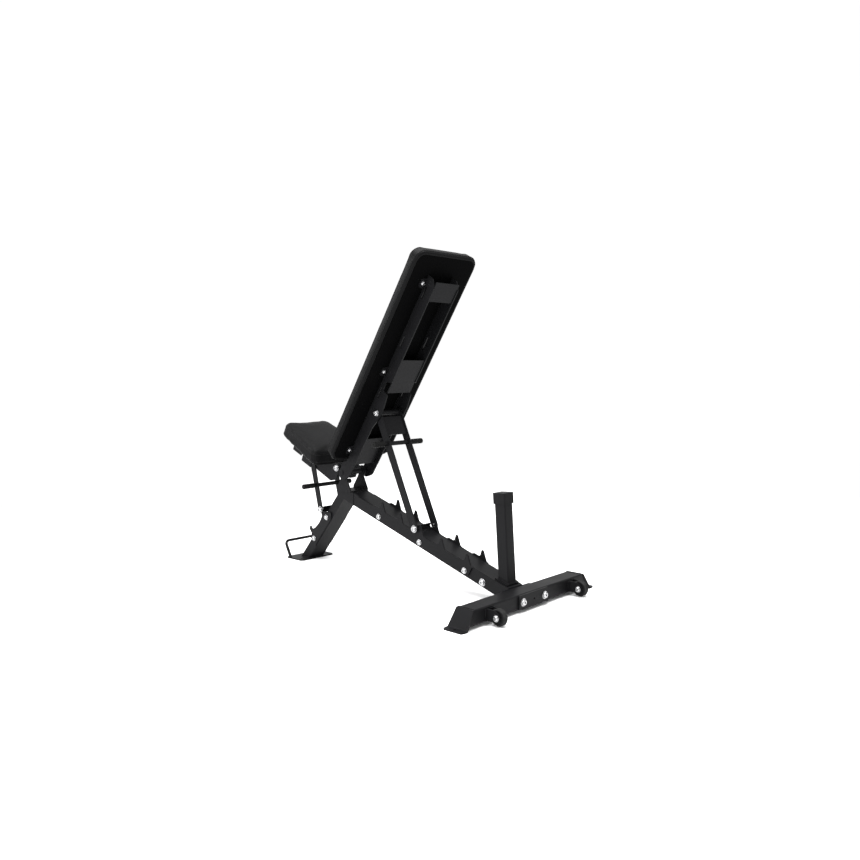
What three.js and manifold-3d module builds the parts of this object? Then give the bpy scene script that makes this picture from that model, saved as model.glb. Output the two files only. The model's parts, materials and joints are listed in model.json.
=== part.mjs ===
// Adjustable weight bench with a reclining back pad, a tilting seat, an upright storage post and wheels.
// Millimetres, +Z up. -Y is the front (seat end), +Y the rear (cross tube and wheels), +X the left side.
// The origin is on the ground, under the centre of the whole bench.
import * as THREE from 'three';
import { mergeVertices } from 'three/addons/utils/BufferGeometryUtils.js';
import Module from 'manifold-3d';

const wasm = await Module();
wasm.setup();

// ---- driving dimensions -------------------------------------------------------------------------

const gap = 0.3; // between touching pieces
const runningGap = 0.35; // radial, between a pin and its hole
const sideGap = 1.0; // between plates that turn past each other

// Base frame
const beamWidth = 75;
const beamDepth = 46;
const beamSlope = THREE.MathUtils.degToRad(17.8);
const beamTopAtTube = 47; // height of the beam's top line at the middle of the cross tube
const tubeWall = 2.5;
const kneeY = -791; // seam between leg and beam
const legSlope = THREE.MathUtils.degToRad(48.9);
const legDepth = 38;
const kneeLap = 56; // from the seam to where the leg's rear face meets the beam's underside
const footPlateWidth = 168;
const footPlateLength = 106;
const footPlateThickness = 5;

// Rear cross tube
const crossLength = 565; // along its top edge
const crossDepth = 66;
const crossHeight = 47;
const crossBottom = 10.5;
const footRun = 38; // how far each end plate slopes outwards
const footFlange = 21; // beyond the folded plate on the ground
const footFlare = 7; // extra half width of an end plate at the ground
const footThickness = 5;
const footHoleRadius = 4.5;
const jointPlateLength = 152;
const jointPlateThickness = 5;
const jointBoltSpacing = 113;

// Wheels
const wheelSpacing = 430;
const wheelRadius = 26.4;
const wheelWidth = 23;
const wheelTubeGap = 10.6; // between the tube's rear face and the wheel
const wheelGroundGap = 1.6;
const wheelPlate = 3.5;

// Storage post
const postSize = 43;
const postHeight = 283;
const postLean = THREE.MathUtils.degToRad(3);
const postY = -70;
const postPlateSize = 62;
const postPlateThickness = 5;
const capHeight = 36;
const capWall = 3.2;

// Hinge at the top of the leg
const apexPlate = 5;
const pivotAboveKnee = 77;
const pivotBehindKnee = -37;
const axleRadius = 8;
const apexHeadRadius = 20;
const neckWidth = 32;
const neckHeight = 48;
const apexBase = 84;

// Back frame, measured along the back from the pivot
const backAngle = THREE.MathUtils.degToRad(55.8);
const backPadStart = 63;
const backPadLength = 874;
const padWidth = 305;
const padThickness = 48;
const padEdge = 20; // bevel where the two pads meet
const backPadCorner = 42;
const boardThickness = 12;
const boardInset = 14;
const channelRoom = 3; // between a prop bar and the side plate beside it
const sidePlate = 5;
const flangeDepth = 47;
const webStart = 58;
const flangeEnd = 852;
const tabStations = [114, 466, 822];
const tabLength = 40;
const tabReach = 26;
const slotStations = [382, 595, 794];
const slotLength = 46;
const slotDepths = [-17, -10];
const webThickness = 4;
const topWebLength = 72; // short enough for the post to pass below it when the back is flat
const bottomWebRecess = 16; // further in than the middle web
const propPivotAlong = 308;
const propPivotDepth = 37;

// Back prop and its ladder
const propWidth = 30;
const propPlate = 5;
const propSideRoom = 6.2; // between a bar and the ladder plate beside it
const pinRadius = 8;
const pinLift = 14; // pin centre above the beam's top face
const notchStations = [-640, -546, -444.5, -343, -225]; // along Y, front to rear
const restNotch = 2;
const hookHeight = 33;
const ladderPlate = 5;
const ladderDepth = 39;
const ladderFront = -757;
const ladderRear = -186;
const ladderBoltStations = [-642, -431, -220];
const ladderBoltDepth = 27;
const beamBoltStation = -145;
const beamBoltDepth = 31;
const handleLength = 244;
const handleRadius = 8;
const gripRadius = 10;
const gripLength = 52;
const backHandleAlong = 121.5; // from the prop's top pivot

// Seat, measured along the seat from the pivot
const seatAngle = THREE.MathUtils.degToRad(23.5);
const seatPadStart = 66;
const seatPadLength = 290;
const seatPadThickness = 56;
const seatFrontWidth = 224;
const seatPlateStart = 80;
const seatCorner = 38;
const seatPlate = 5;
const seatBoltAlong = 46;
const seatBoltDepth = 5;
const seatPropAlong = 190;
const seatPropDepth = 41;
const seatPropWidth = 27;
const seatPropPlate = 4;
const seatPinUp = 271; // along the leg's front face, from the ground
const seatPinOut = 22; // in front of the leg's front face
const seatLowerUp = 163;
const seatLowerOut = 20;
const seatHandleAlong = 104; // from the seat prop's top pivot

// Lift handle
const liftRadius = 6;
const liftWidth = 160;
const liftReach = 35;
const liftHeight = 63;
const liftCorner = 20;
const liftFootY = -27; // from the middle of the foot plate

// Fasteners
const boltM12 = 6;
const boltM10 = 5;
const arcStep = Math.PI / 8;

// ---- materials ----------------------------------------------------------------------------------

const blackSteel = () => new THREE.MeshStandardMaterial({ color: 0x25262b, roughness: 0.45, metalness: 0.35 });
const blackVinyl = () => new THREE.MeshStandardMaterial({ color: 0x1c1c20, roughness: 0.5, metalness: 0 });
const zinc = () => new THREE.MeshStandardMaterial({ color: 0xd5d7da, roughness: 0.3, metalness: 0.9 });
const blackPlastic = () => new THREE.MeshStandardMaterial({ color: 0x202126, roughness: 0.6, metalness: 0 });
const wheelPlastic = () => new THREE.MeshStandardMaterial({ color: 0x2b2c30, roughness: 0.7, metalness: 0 });
const plywood = () => new THREE.MeshStandardMaterial({ color: 0x2a2522, roughness: 0.85, metalness: 0 });

// ---- shape helpers ------------------------------------------------------------------------------

// Points of an arc about a centre.
function arc(centre, radius, from, to) {
  const steps = Math.max(2, Math.ceil(Math.abs(to - from) / arcStep - 0.01));
  return Array.from({ length: steps + 1 }, (unused, i) => {
    const angle = from + ((to - from) * i) / steps;
    return new THREE.Vector2(centre.x + radius * Math.cos(angle), centre.y + radius * Math.sin(angle));
  });
}

// A closed outline through [u, v, corner radius] points.
function rounded(points) {
  const count = points.length;
  return points.flatMap(([u, v, radius = 0], i) => {
    const corner = new THREE.Vector2(u, v);
    if (radius === 0) return [corner];
    const before = new THREE.Vector2(...points[(i + count - 1) % count]).sub(corner).normalize();
    const after = new THREE.Vector2(...points[(i + 1) % count]).sub(corner).normalize();
    const half = Math.acos(before.dot(after)) / 2;
    const reach = radius / Math.tan(half);
    const middle = before.clone().add(after).normalize();
    const centre = corner.clone().addScaledVector(middle, radius / Math.sin(half));
    const start = corner.clone().addScaledVector(before, reach).sub(centre).angle();
    const end = corner.clone().addScaledVector(after, reach).sub(centre).angle();
    const left = before.cross(after) < 0;
    const turn = THREE.MathUtils.euclideanModulo(left ? end - start : start - end, 2 * Math.PI);
    return arc(centre, radius, start, left ? start + turn : start - turn);
  });
}

// A circle's outline, for a round hole or a ring.
function circle(u, v, radius, sides = 16) {
  return Array.from({ length: sides }, (unused, i) => {
    const angle = (2 * Math.PI * i) / sides;
    return new THREE.Vector2(u + radius * Math.cos(angle), v + radius * Math.sin(angle));
  });
}

const clockwise = (points) => (THREE.ShapeUtils.isClockWise(points) ? points : [...points].reverse());

// An outline in (u, v) pushed along the third axis; basis says where u, v and the push point.
function extrude(outline, low, high, holes, basis) {
  const shape = new THREE.Shape(clockwise(outline).reverse());
  shape.holes = holes.map((points) => new THREE.Path(clockwise(points)));
  const geometry = new THREE.ExtrudeGeometry(shape, { depth: high - low, bevelEnabled: false });
  geometry.translate(0, 0, low);
  return geometry.applyMatrix4(basis);
}

const X = new THREE.Vector3(1, 0, 0);
const Y = new THREE.Vector3(0, 1, 0);
const Z = new THREE.Vector3(0, 0, 1);
const sideBasis = new THREE.Matrix4().makeBasis(Y, Z, X); // outline in (y, z), pushed along x
const endBasis = new THREE.Matrix4().makeBasis(Z, X, Y); // outline in (z, x), pushed along y
const topBasis = new THREE.Matrix4().makeBasis(X, Y, Z); // outline in (x, y), pushed along z

const sideways = (outline, low, high, holes = []) => extrude(outline, low, high, holes, sideBasis);
const endways = (outline, low, high, holes = []) => extrude(outline, low, high, holes, endBasis);
const upwards = (outline, low, high, holes = []) => extrude(outline, low, high, holes, topBasis);

// A rectangle between two corners, with one corner radius.
function rectangle(u0, v0, u1, v1, radius = 0) {
  return rounded([[u0, v0, radius], [u1, v0, radius], [u1, v1, radius], [u0, v1, radius]]);
}

// A solid turned about the x axis from [x, radius] points.
function turned(profile, sides = 20) {
  const points = profile.map(([x, radius]) => new THREE.Vector2(radius, x));
  const geometry = new THREE.LatheGeometry(points, sides);
  return geometry.applyMatrix4(new THREE.Matrix4().makeBasis(Y, X, Z.clone().negate()));
}

function solid(geometry) {
  const bare = geometry.clone();
  bare.deleteAttribute('normal');
  bare.deleteAttribute('uv');
  const merged = mergeVertices(bare, 1e-4);
  const vertProperties = new Float32Array(merged.attributes.position.array);
  const triVerts = new Uint32Array(merged.index.array);
  return new wasm.Manifold(new wasm.Mesh({ numProp: 3, vertProperties, triVerts }));
}

function geometryOf(manifold) {
  const mesh = manifold.getMesh();
  const geometry = new THREE.BufferGeometry();
  geometry.setAttribute('position', new THREE.BufferAttribute(new Float32Array(mesh.vertProperties), 3));
  geometry.setIndex(new THREE.BufferAttribute(new Uint32Array(mesh.triVerts), 1));
  geometry.computeVertexNormals();
  return geometry;
}

const cut = (from, ...tools) => geometryOf(
  tools.reduce((rest, tool) => rest.subtract(solid(tool)), solid(from)),
);
const join = (first, ...others) => geometryOf(
  others.reduce((sum, other) => sum.add(solid(other)), solid(first)),
);
const common = (a, b) => geometryOf(solid(a).intersect(solid(b)));

const bench = new THREE.Group();

// A frame in the side plane: its y axis is turned from the bench's y axis by an angle about x.
function frameAt(y, z, angle, parent = bench) {
  const group = new THREE.Group();
  group.position.set(0, y, z);
  group.rotation.x = angle;
  parent.add(group);
  return group;
}

function piece(name, geometry, material, parent = bench) {
  const mesh = new THREE.Mesh(geometry, material);
  mesh.name = name;
  parent.add(mesh);
  return mesh;
}

// Two mirrored plates, left (+x) and right (-x), between two distances from the middle.
function platePair(name, outline, inner, outer, holes, material, parent) {
  piece(`${name}_left`, sideways(outline, inner, outer, holes), material(), parent);
  piece(`${name}_right`, sideways(outline, -outer, -inner, holes), material(), parent);
}

// Profile of a bolt along x: domed head over a flange at high, nut at low.
function boltProfile(radius, low, high) {
  const head = radius * 1.9;
  const dome = radius * 1.5;
  const height = radius * 1.1;
  return [
    [low - height - 2, 0],
    [low - height - 2, radius],
    [low - height, radius],
    [low - height, dome],
    [low - gap, dome],
    [low - gap, radius],
    [high + gap, radius],
    [high + gap, head],
    [high + gap + 1.5, head],
    [high + gap + 1.5, dome],
    [high + height * 0.8, dome * 0.95],
    [high + height + 1, dome * 0.55],
    [high + height + 1.4, 0],
  ];
}

function boltAcross(name, y, z, radius, low, high, parent, sides = 12) {
  const geometry = turned(boltProfile(radius, low, high), sides).translate(0, y, z);
  return piece(name, geometry, zinc(), parent);
}

// ---- worked-out sizes ---------------------------------------------------------------------------

const beamHalf = beamWidth / 2;
const kneeTop = beamTopAtTube - kneeY * Math.tan(beamSlope);
const beamTopAt = (y) => beamTopAtTube - y * Math.tan(beamSlope);
const beamFall = beamDepth / Math.cos(beamSlope); // vertical height of the beam's side
const pivotY = kneeY + pivotBehindKnee;
const pivotZ = kneeTop + pivotAboveKnee;
const ladderInner = beamHalf + gap;
const ladderOuter = ladderInner + ladderPlate;
const crossTop = crossBottom + crossHeight;

// Plates at the hinge, from the middle outwards: seat lug, apex upright, then back hinge and seat side.
const lugOuter = beamHalf + 2;
const lugInner = lugOuter - seatPlate;
const apexInner = lugOuter + sideGap;
const apexOuter = apexInner + apexPlate;
const hingeInner = apexOuter + sideGap;
const hingeOuter = hingeInner + seatPlate;

// The back prop's bars stand outside the ladder, and the back's side plates outside the bars.
const propInner = ladderOuter + propSideRoom;
const propOuter = propInner + propPlate;
const sideInner = propOuter + channelRoom;
const sideOuter = sideInner + sidePlate;

// ---- front leg and foot -------------------------------------------------------------------------

const rearMeetY = kneeY - kneeLap;
const rearMeetZ = beamTopAt(rearMeetY) - beamFall;
const legRun = 1 / Math.tan(legSlope);
const legRearAt = (z) => rearMeetY - (rearMeetZ - z) * legRun;
const legFrontAt = (z) => legRearAt(z) - legDepth / Math.sin(legSlope);
const legBottom = footPlateThickness + gap;

const legOutline = rounded([
  [legRearAt(legBottom), legBottom],
  [rearMeetY, rearMeetZ],
  [kneeY, beamTopAt(kneeY) - beamFall],
  [kneeY, kneeTop],
  [legFrontAt(kneeTop), kneeTop, 8],
  [legFrontAt(legBottom), legBottom],
]);
const legBore = rounded([
  [legRearAt(-20) - tubeWall / Math.sin(legSlope), -20],
  [rearMeetY - tubeWall, rearMeetZ + tubeWall],
  [kneeY - tubeWall, kneeTop - beamFall + 2 * tubeWall],
  [kneeY - tubeWall, kneeTop - tubeWall],
  [legFrontAt(kneeTop) + 2 * tubeWall, kneeTop - tubeWall],
  [legFrontAt(-20) + tubeWall / Math.sin(legSlope), -20],
]);
const legFrame = frameAt(legFrontAt(0), 0, legSlope);
const rod = (y, z, radius) => turned([[-90, 0], [-90, radius], [90, radius], [90, 0]], 12).translate(0, y, z);
const seatLadderBolts = [['upper', seatPinUp - 11], ['lower', seatLowerUp - 29]];
const seatLadderBoltDepth = 13.5;
const legHoles = seatLadderBolts.map(([, up]) => {
  const run = up * Math.cos(legSlope) + seatLadderBoltDepth * Math.sin(legSlope);
  const rise = up * Math.sin(legSlope) - seatLadderBoltDepth * Math.cos(legSlope);
  return rod(legFrontAt(0) + run, rise, boltM10 + runningGap);
});
piece(
  'front_leg',
  cut(
    sideways(legOutline, -beamHalf, beamHalf),
    sideways(legBore, tubeWall - beamHalf, beamHalf - tubeWall),
    ...legHoles,
  ),
  blackSteel(),
);

const footMiddle = (legRearAt(0) + legFrontAt(0)) / 2 - 11;
const footOutline = rectangle(
  -footPlateWidth / 2,
  footMiddle - footPlateLength / 2,
  footPlateWidth / 2,
  footMiddle + footPlateLength / 2,
  14,
);
const footHoles = [-1, 1].map(
  (side) => circle(side * (footPlateWidth / 2 - 16), footMiddle + 32, footHoleRadius),
);
piece('front_foot_plate', upwards(footOutline, 0, footPlateThickness, footHoles), blackSteel());

// Bent round bar that stands on the foot plate and leans forwards.
const liftBase = footMiddle + liftFootY;
const liftStart = new THREE.Vector3(liftWidth / 2, liftBase, footPlateThickness + gap);
const liftTop = new THREE.Vector3(liftWidth / 2, liftBase - liftReach, footPlateThickness + liftHeight);
const liftPath = new THREE.CurvePath();
const liftRise = liftTop.clone().sub(liftStart).normalize();
const liftTurnIn = liftTop.clone().addScaledVector(liftRise, -liftCorner);
const liftTurnOut = liftTop.clone().addScaledVector(X, -liftCorner);
const mirrored = (point) => new THREE.Vector3(-point.x, point.y, point.z);
liftPath.add(new THREE.LineCurve3(liftStart, liftTurnIn));
liftPath.add(new THREE.QuadraticBezierCurve3(liftTurnIn, liftTop, liftTurnOut));
liftPath.add(new THREE.LineCurve3(liftTurnOut, mirrored(liftTurnOut)));
liftPath.add(new THREE.QuadraticBezierCurve3(mirrored(liftTurnOut), mirrored(liftTop), mirrored(liftTurnIn)));
liftPath.add(new THREE.LineCurve3(mirrored(liftTurnIn), mirrored(liftStart)));
const liftSection = new THREE.Shape(circle(0, 0, liftRadius, 10));
const liftBar = new THREE.ExtrudeGeometry(liftSection, {
  steps: 34,
  bevelEnabled: false,
  extrudePath: liftPath,
});
const liftTrim = upwards(rectangle(-liftWidth, -60, liftWidth, 60), -40, 0)
  .translate(0, liftBase, liftStart.z);
piece('lift_handle', cut(liftBar, liftTrim), blackSteel());

// ---- main beam ----------------------------------------------------------------------------------

const endPlateRear = -crossDepth / 2 - gap;
const endPlateFront = endPlateRear - jointPlateThickness;
const beamFront = kneeY + gap;
const sideOfBeam = (front, rear, inset) => rounded([
  [front, beamTopAt(front) - beamFall + inset],
  [rear, Math.max(beamTopAt(rear) - beamFall + inset, crossBottom)],
  [rear, beamTopAt(rear) - inset],
  [front, beamTopAt(front) - inset],
]);
const beamBody = sideways(sideOfBeam(beamFront, endPlateFront + 1, 0), -beamHalf, beamHalf);
const beamBore = sideways(
  sideOfBeam(beamFront - 10, endPlateFront - 1, tubeWall / Math.cos(beamSlope)),
  tubeWall - beamHalf,
  beamHalf - tubeWall,
);
const acrossBeam = (y, depth, radius) => rod(y, beamTopAt(y) - depth / Math.cos(beamSlope), radius);
const beamHoles = [
  ...ladderBoltStations.map((y) => acrossBeam(y, ladderBoltDepth, boltM10 + runningGap)),
  acrossBeam(beamBoltStation, beamBoltDepth, boltM12 + runningGap),
];
const jointBoltZ = crossBottom + crossHeight / 2 - 1;
const jointOutline = rectangle(crossBottom + 1, -jointPlateLength / 2, crossTop - 1, jointPlateLength / 2, 4);
const jointHoles = [-1, 1].map(
  (side) => circle(jointBoltZ, (side * jointBoltSpacing) / 2, boltM12 + runningGap),
);
const endPlate = endways(jointOutline, endPlateFront, endPlateRear, jointHoles);
piece('main_beam', join(cut(beamBody, beamBore, ...beamHoles), endPlate), blackSteel());

// ---- rear cross tube, its end plates and the bolted joint -----------------------------------------

const crossHalf = crossLength / 2;
const footSlope = footRun / crossTop; // outward run for each millimetre of fall
const crossEndAt = (z) => crossHalf + (crossTop - z) * footSlope;
const crossSection = rectangle(crossBottom, -crossDepth / 2, crossTop, crossDepth / 2, 5)
  .map((point) => new THREE.Vector2(point.y, point.x));
const crossBore = rectangle(crossBottom + tubeWall, tubeWall - crossDepth / 2, crossTop - tubeWall,
  crossDepth / 2 - tubeWall, 3).map((point) => new THREE.Vector2(point.y, point.x));
const crossBar = extrude(crossSection, -crossHalf - 60, crossHalf + 60, [], sideBasis);
const crossBarBore = extrude(crossBore, -crossHalf - 70, crossHalf + 70, [], sideBasis);
const crossEnds = endways([
  new THREE.Vector2(0, crossEndAt(0)),
  new THREE.Vector2(0, -crossEndAt(0)),
  new THREE.Vector2(crossTop + 5, -crossEndAt(crossTop + 5)),
  new THREE.Vector2(crossTop + 5, crossEndAt(crossTop + 5)),
], -crossDepth, crossDepth);
const jointDrill = turned([
  [-crossDepth, 0],
  [-crossDepth, boltM12 + runningGap],
  [crossDepth, boltM12 + runningGap],
  [crossDepth, 0],
], 12).applyMatrix4(new THREE.Matrix4().makeBasis(Y, X.clone().negate(), Z));
const crossHoles = [-1, 1].map(
  (side) => jointDrill.clone().translate((side * jointBoltSpacing) / 2, 0, jointBoltZ),
);
piece('rear_cross_tube', common(cut(crossBar, crossBarBore, ...crossHoles), crossEnds), blackSteel());

// One folded plate: a sloping end with a flat flange on the ground, trimmed to a tapered plan.
function footPlateAt(side) {
  const lean = Math.hypot(1, footSlope);
  const start = gap * lean;
  const finish = (gap + footThickness) * lean;
  const groundX = crossEndAt(0) + start;
  const fold = [
    [crossTop, crossEndAt(crossTop) + start],
    [0, groundX],
    [0, groundX + footFlange + footThickness],
    [footThickness, groundX + footFlange + footThickness],
    [footThickness, crossEndAt(footThickness) + finish, 6],
    [crossTop, crossEndAt(crossTop) + finish],
  ];
  const outline = rounded(fold).map((point) => new THREE.Vector2(point.x, side * point.y));
  const sheet = endways(outline, -crossDepth, crossDepth);
  const topHalf = crossDepth / 2;
  const groundHalf = topHalf + footFlare;
  const tip = groundX + footFlange + footThickness;
  const plan = rounded([
    [crossHalf - 20, -topHalf],
    [crossHalf, -topHalf],
    [groundX + 8, -groundHalf, 4],
    [tip, -groundHalf + 4, 6],
    [tip, groundHalf - 4, 6],
    [groundX + 8, groundHalf, 4],
    [crossHalf, topHalf],
    [crossHalf - 20, topHalf],
  ]).map((point) => new THREE.Vector2(side * point.x, point.y));
  const bolt = circle(side * (groundX + footFlange * 0.62), 0, footHoleRadius);
  return common(sheet, upwards(plan, -5, crossTop + 5, [bolt]));
}
piece('rear_foot_left', footPlateAt(1), blackSteel());
piece('rear_foot_right', footPlateAt(-1), blackSteel());

const rearFace = crossDepth / 2;
const rearPlateHoles = [...jointHoles, circle(jointBoltZ, 0, 3.5)];
const rearPlateFront = rearFace + gap;
const rearPlateRear = rearPlateFront + jointPlateThickness;
piece('rear_joint_plate', endways(jointOutline, rearPlateFront, rearPlateRear, rearPlateHoles), blackSteel());
[['left', 1], ['right', -1]].forEach(([name, side]) => {
  const geometry = turned(boltProfile(boltM12, endPlateFront, rearPlateRear), 12)
    .applyMatrix4(new THREE.Matrix4().makeBasis(Y, X.clone().negate(), Z))
    .translate((side * jointBoltSpacing) / 2, 0, jointBoltZ);
  piece(`rear_joint_bolt_${name}`, geometry, zinc());
});

// ---- wheels -------------------------------------------------------------------------------------

const axleY = rearFace + wheelTubeGap + wheelRadius;
const wheelAxleHeight = wheelRadius + wheelGroundGap;
const earGap = wheelWidth / 2 + sideGap;
const bracketTop = Math.min(crossTop - 4, wheelAxleHeight + 22);
const bracketLow = Math.max(crossBottom + 3, wheelAxleHeight - 15);
const bracketOutline = rounded([
  [rearFace + gap, bracketLow],
  [axleY - 4, wheelAxleHeight - 13, 8],
  [axleY + 13, wheelAxleHeight - 13, 12],
  [axleY + 13, wheelAxleHeight + 13, 12],
  [axleY - 8, bracketTop, 10],
  [rearFace + gap, bracketTop],
]);
const bracketHole = [circle(axleY, wheelAxleHeight, boltM10 + runningGap)];
const wheelSpan = earGap + wheelPlate;
const wheelBore = boltM10 + runningGap;
const wheelProfile = [
  [-wheelWidth / 2, wheelBore],
  [-wheelWidth / 2, 11],
  [-wheelWidth / 2 + 3, 13],
  [-wheelWidth / 2 + 3, wheelRadius * 0.72],
  [-wheelWidth / 2 + 1, wheelRadius * 0.78],
  [-wheelWidth / 2 + 1, wheelRadius - 4],
  [-wheelWidth / 2 + 5, wheelRadius],
  [wheelWidth / 2 - 5, wheelRadius],
  [wheelWidth / 2 - 1, wheelRadius - 4],
  [wheelWidth / 2 - 1, wheelRadius * 0.78],
  [wheelWidth / 2 - 3, wheelRadius * 0.72],
  [wheelWidth / 2 - 3, 13],
  [wheelWidth / 2, 11],
  [wheelWidth / 2, wheelBore],
  [-wheelWidth / 2, wheelBore],
];
[['left', 1], ['right', -1]].forEach(([name, side]) => {
  const x = (side * wheelSpacing) / 2;
  const back = endways(
    rectangle(bracketLow, x - wheelSpan - 6, bracketTop, x + wheelSpan + 6, 3),
    rearFace + gap,
    rearFace + gap + wheelPlate,
  );
  const ears = [-1, 1].map((ear) => {
    const near = x + ear * earGap;
    const far = x + ear * wheelSpan;
    return sideways(bracketOutline, Math.min(near, far), Math.max(near, far), bracketHole);
  });
  piece(`wheel_bracket_${name}`, join(back, ...ears), blackSteel());
  boltAcross(`wheel_axle_${name}`, axleY, wheelAxleHeight, boltM10, x - wheelSpan, x + wheelSpan, bench);
  const wheel = turned(wheelProfile, 24).translate(x, axleY, wheelAxleHeight);
  piece(`wheel_${name}`, wheel, wheelPlastic());
});

// ---- storage post -------------------------------------------------------------------------------

const beamRearFrame = frameAt(postY, beamTopAt(postY), -beamSlope);
const postPlateTop = gap + postPlateThickness;
piece(
  'post_base_plate',
  upwards(
    rectangle(-postPlateSize / 2, -postPlateSize / 2, postPlateSize / 2, postPlateSize / 2 - 6, 4),
    gap,
    postPlateTop,
  ),
  blackSteel(),
  beamRearFrame,
);
const postFrame = frameAt(postY, beamTopAt(postY) + postPlateTop / Math.cos(beamSlope) + gap, postLean);
const postInside = postSize / 2 - tubeWall;
const postBore = rectangle(-postInside, -postInside, postInside, postInside, 3);
const postTubeFull = upwards(
  rectangle(-postSize / 2, -postSize / 2, postSize / 2, postSize / 2, 5),
  -30,
  postHeight,
  [postBore],
);
const postFootCut = upwards(rectangle(-postSize, -postSize * 2, postSize, postSize * 2), -120, 0)
  .applyMatrix4(new THREE.Matrix4().makeRotationX(-beamSlope - postLean));
piece('post_tube', cut(postTubeFull, postFootCut), blackSteel(), postFrame);
const capInner = postSize / 2 + gap;
const capSide = capInner + capWall;
const capOuter = rectangle(-capSide, -capSide, capSide, capSide, 5);
piece(
  'post_cap',
  cut(
    upwards(capOuter, postHeight + gap + capWall - capHeight, postHeight + gap + capWall),
    upwards(rectangle(-capInner, -capInner, capInner, capInner, 5), -10, postHeight + gap),
  ),
  blackPlastic(),
  postFrame,
);

// ---- back ladder on the beam ----------------------------------------------------------------------

const beamFrame = frameAt(0, beamTopAtTube, -beamSlope);
const alongBeam = (y) => y / Math.cos(beamSlope); // station of the beam's top line at a given y
const pinClear = 0.8;
const notchFloor = pinLift - pinRadius - pinClear;
const notchAlong = notchStations.map((y) => {
  const lift = pinLift / Math.cos(beamSlope);
  return alongBeam(y) + lift * -Math.sin(beamSlope);
});
// One hook, walked from rear to front along the top edge.
function hookOutline(notch) {
  const throat = notch + pinRadius + pinClear;
  return [
    [notch + 50, -1],
    [notch + 39, 0.5, 12],
    [notch + 18, hookHeight - 4, 7],
    [notch + 11.5, hookHeight, 2.5],
    [notch + 9.5, hookHeight - 3, 3],
    [throat, pinLift + 4, 10],
    [throat, notchFloor, pinRadius + pinClear - 0.1],
    [notch - 20, notchFloor, 10],
    [notch - 30, -1, 10],
  ];
}
const plateTop = -1.2;
const ladderHolesAt = ladderBoltStations.map((y) => {
  const along = alongBeam(y) - (ladderBoltDepth / Math.cos(beamSlope)) * -Math.sin(beamSlope);
  return [along, -ladderBoltDepth];
});
const ladderOutline = rounded([
  [alongBeam(ladderFront), plateTop],
  [alongBeam(ladderFront) + 12, -ladderDepth],
  [alongBeam(ladderRear) - 8, -ladderDepth, 6],
  [alongBeam(ladderRear), plateTop, 5],
  ...[...notchAlong].reverse().flatMap(hookOutline),
]);
platePair(
  'back_ladder',
  ladderOutline,
  ladderInner,
  ladderOuter,
  ladderHolesAt.map(([along, height]) => circle(along, height, boltM10 + runningGap)),
  blackSteel,
  beamFrame,
);
['front', 'middle', 'rear'].forEach((name, i) => {
  const [along, height] = ladderHolesAt[i];
  boltAcross(`ladder_bolt_${name}`, along, height, boltM10, -ladderOuter, ladderOuter, beamFrame);
});
const beamBoltAlong = alongBeam(beamBoltStation) + beamBoltDepth * Math.tan(beamSlope);
boltAcross('beam_bolt', beamBoltAlong, -beamBoltDepth, boltM12, -beamHalf, beamHalf, beamFrame);

// ---- seat ladder on the leg -----------------------------------------------------------------------

const levelRun = Math.cos(legSlope); // a level line, in the leg's own axes
const levelDrop = -Math.sin(legSlope);
const seatShelf = (up, out) => [
  [up - 24, 10, 8],
  [up - 20, out + 12, 4],
  [up - 10, out + 18, 2],
  [up - 5, out + 13, 1.5],
  [up - (pinRadius + pinClear) * 0.95, out - 2, pinRadius],
];
const restOn = (pinRadius + pinClear) * Math.sin(legSlope);
const restIn = (pinRadius + pinClear) * Math.cos(legSlope);
const seatTopEdge = 52;
const seatLadderOutline = rounded([
  [seatLowerUp - 50, -legDepth + 2],
  [seatLowerUp - 42, 3, 6],
  ...seatShelf(seatLowerUp, seatLowerOut),
  [seatLowerUp + 14, seatLowerOut - pinRadius - pinClear - 2, 10],
  [seatPinUp - 60, 5, 20],
  ...seatShelf(seatPinUp, seatPinOut).slice(0, 4),
  [seatPinUp - restOn - 0.5, seatPinOut - restIn + 3, 6],
  [seatPinUp - restOn + seatTopEdge * levelRun, seatPinOut - restIn + seatTopEdge * levelDrop, 8],
  [seatPinUp + 2, -legDepth + 2, 10],
]);
platePair(
  'seat_ladder',
  seatLadderOutline,
  ladderInner,
  ladderOuter,
  seatLadderBolts.map(([, up]) => circle(up, -seatLadderBoltDepth, boltM10 + runningGap)),
  blackSteel,
  legFrame,
);
seatLadderBolts.forEach(([name, up]) => {
  boltAcross(`seat_ladder_bolt_${name}`, up, -seatLadderBoltDepth, boltM10, -ladderOuter, ladderOuter, legFrame);
});

// ---- apex bracket and hinge axle ------------------------------------------------------------------

const capBottom = kneeTop + gap;
const capPlateTop = capBottom + apexPlate;
const baseMiddle = pivotY - 11;
const neckMiddle = pivotY - 8;
const headAngle = 0.55;
const upright = [
  new THREE.Vector2(baseMiddle - apexBase / 2, capPlateTop - 1),
  new THREE.Vector2(baseMiddle + apexBase / 2, capPlateTop - 1),
  new THREE.Vector2(baseMiddle + apexBase / 2 - 3, capPlateTop + 7),
  new THREE.Vector2(neckMiddle + neckWidth / 2, capPlateTop + neckHeight),
  ...arc(new THREE.Vector2(pivotY, pivotZ), apexHeadRadius, -headAngle, Math.PI + headAngle),
  new THREE.Vector2(neckMiddle - neckWidth / 2, capPlateTop + neckHeight),
  new THREE.Vector2(baseMiddle - apexBase / 2 + 1, capPlateTop + 8),
];
const apexHole = [circle(pivotY, pivotZ, axleRadius + runningGap)];
const capPlate = upwards(
  rectangle(-apexOuter, baseMiddle - apexBase / 2, apexOuter, baseMiddle + apexBase / 2, 2),
  capBottom,
  capPlateTop,
);
piece(
  'apex_bracket',
  join(
    capPlate,
    sideways(upright, apexInner, apexOuter, apexHole),
    sideways(upright, -apexOuter, -apexInner, apexHole),
  ),
  blackSteel(),
);
const axleEnd = sideOuter + gap;
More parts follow.
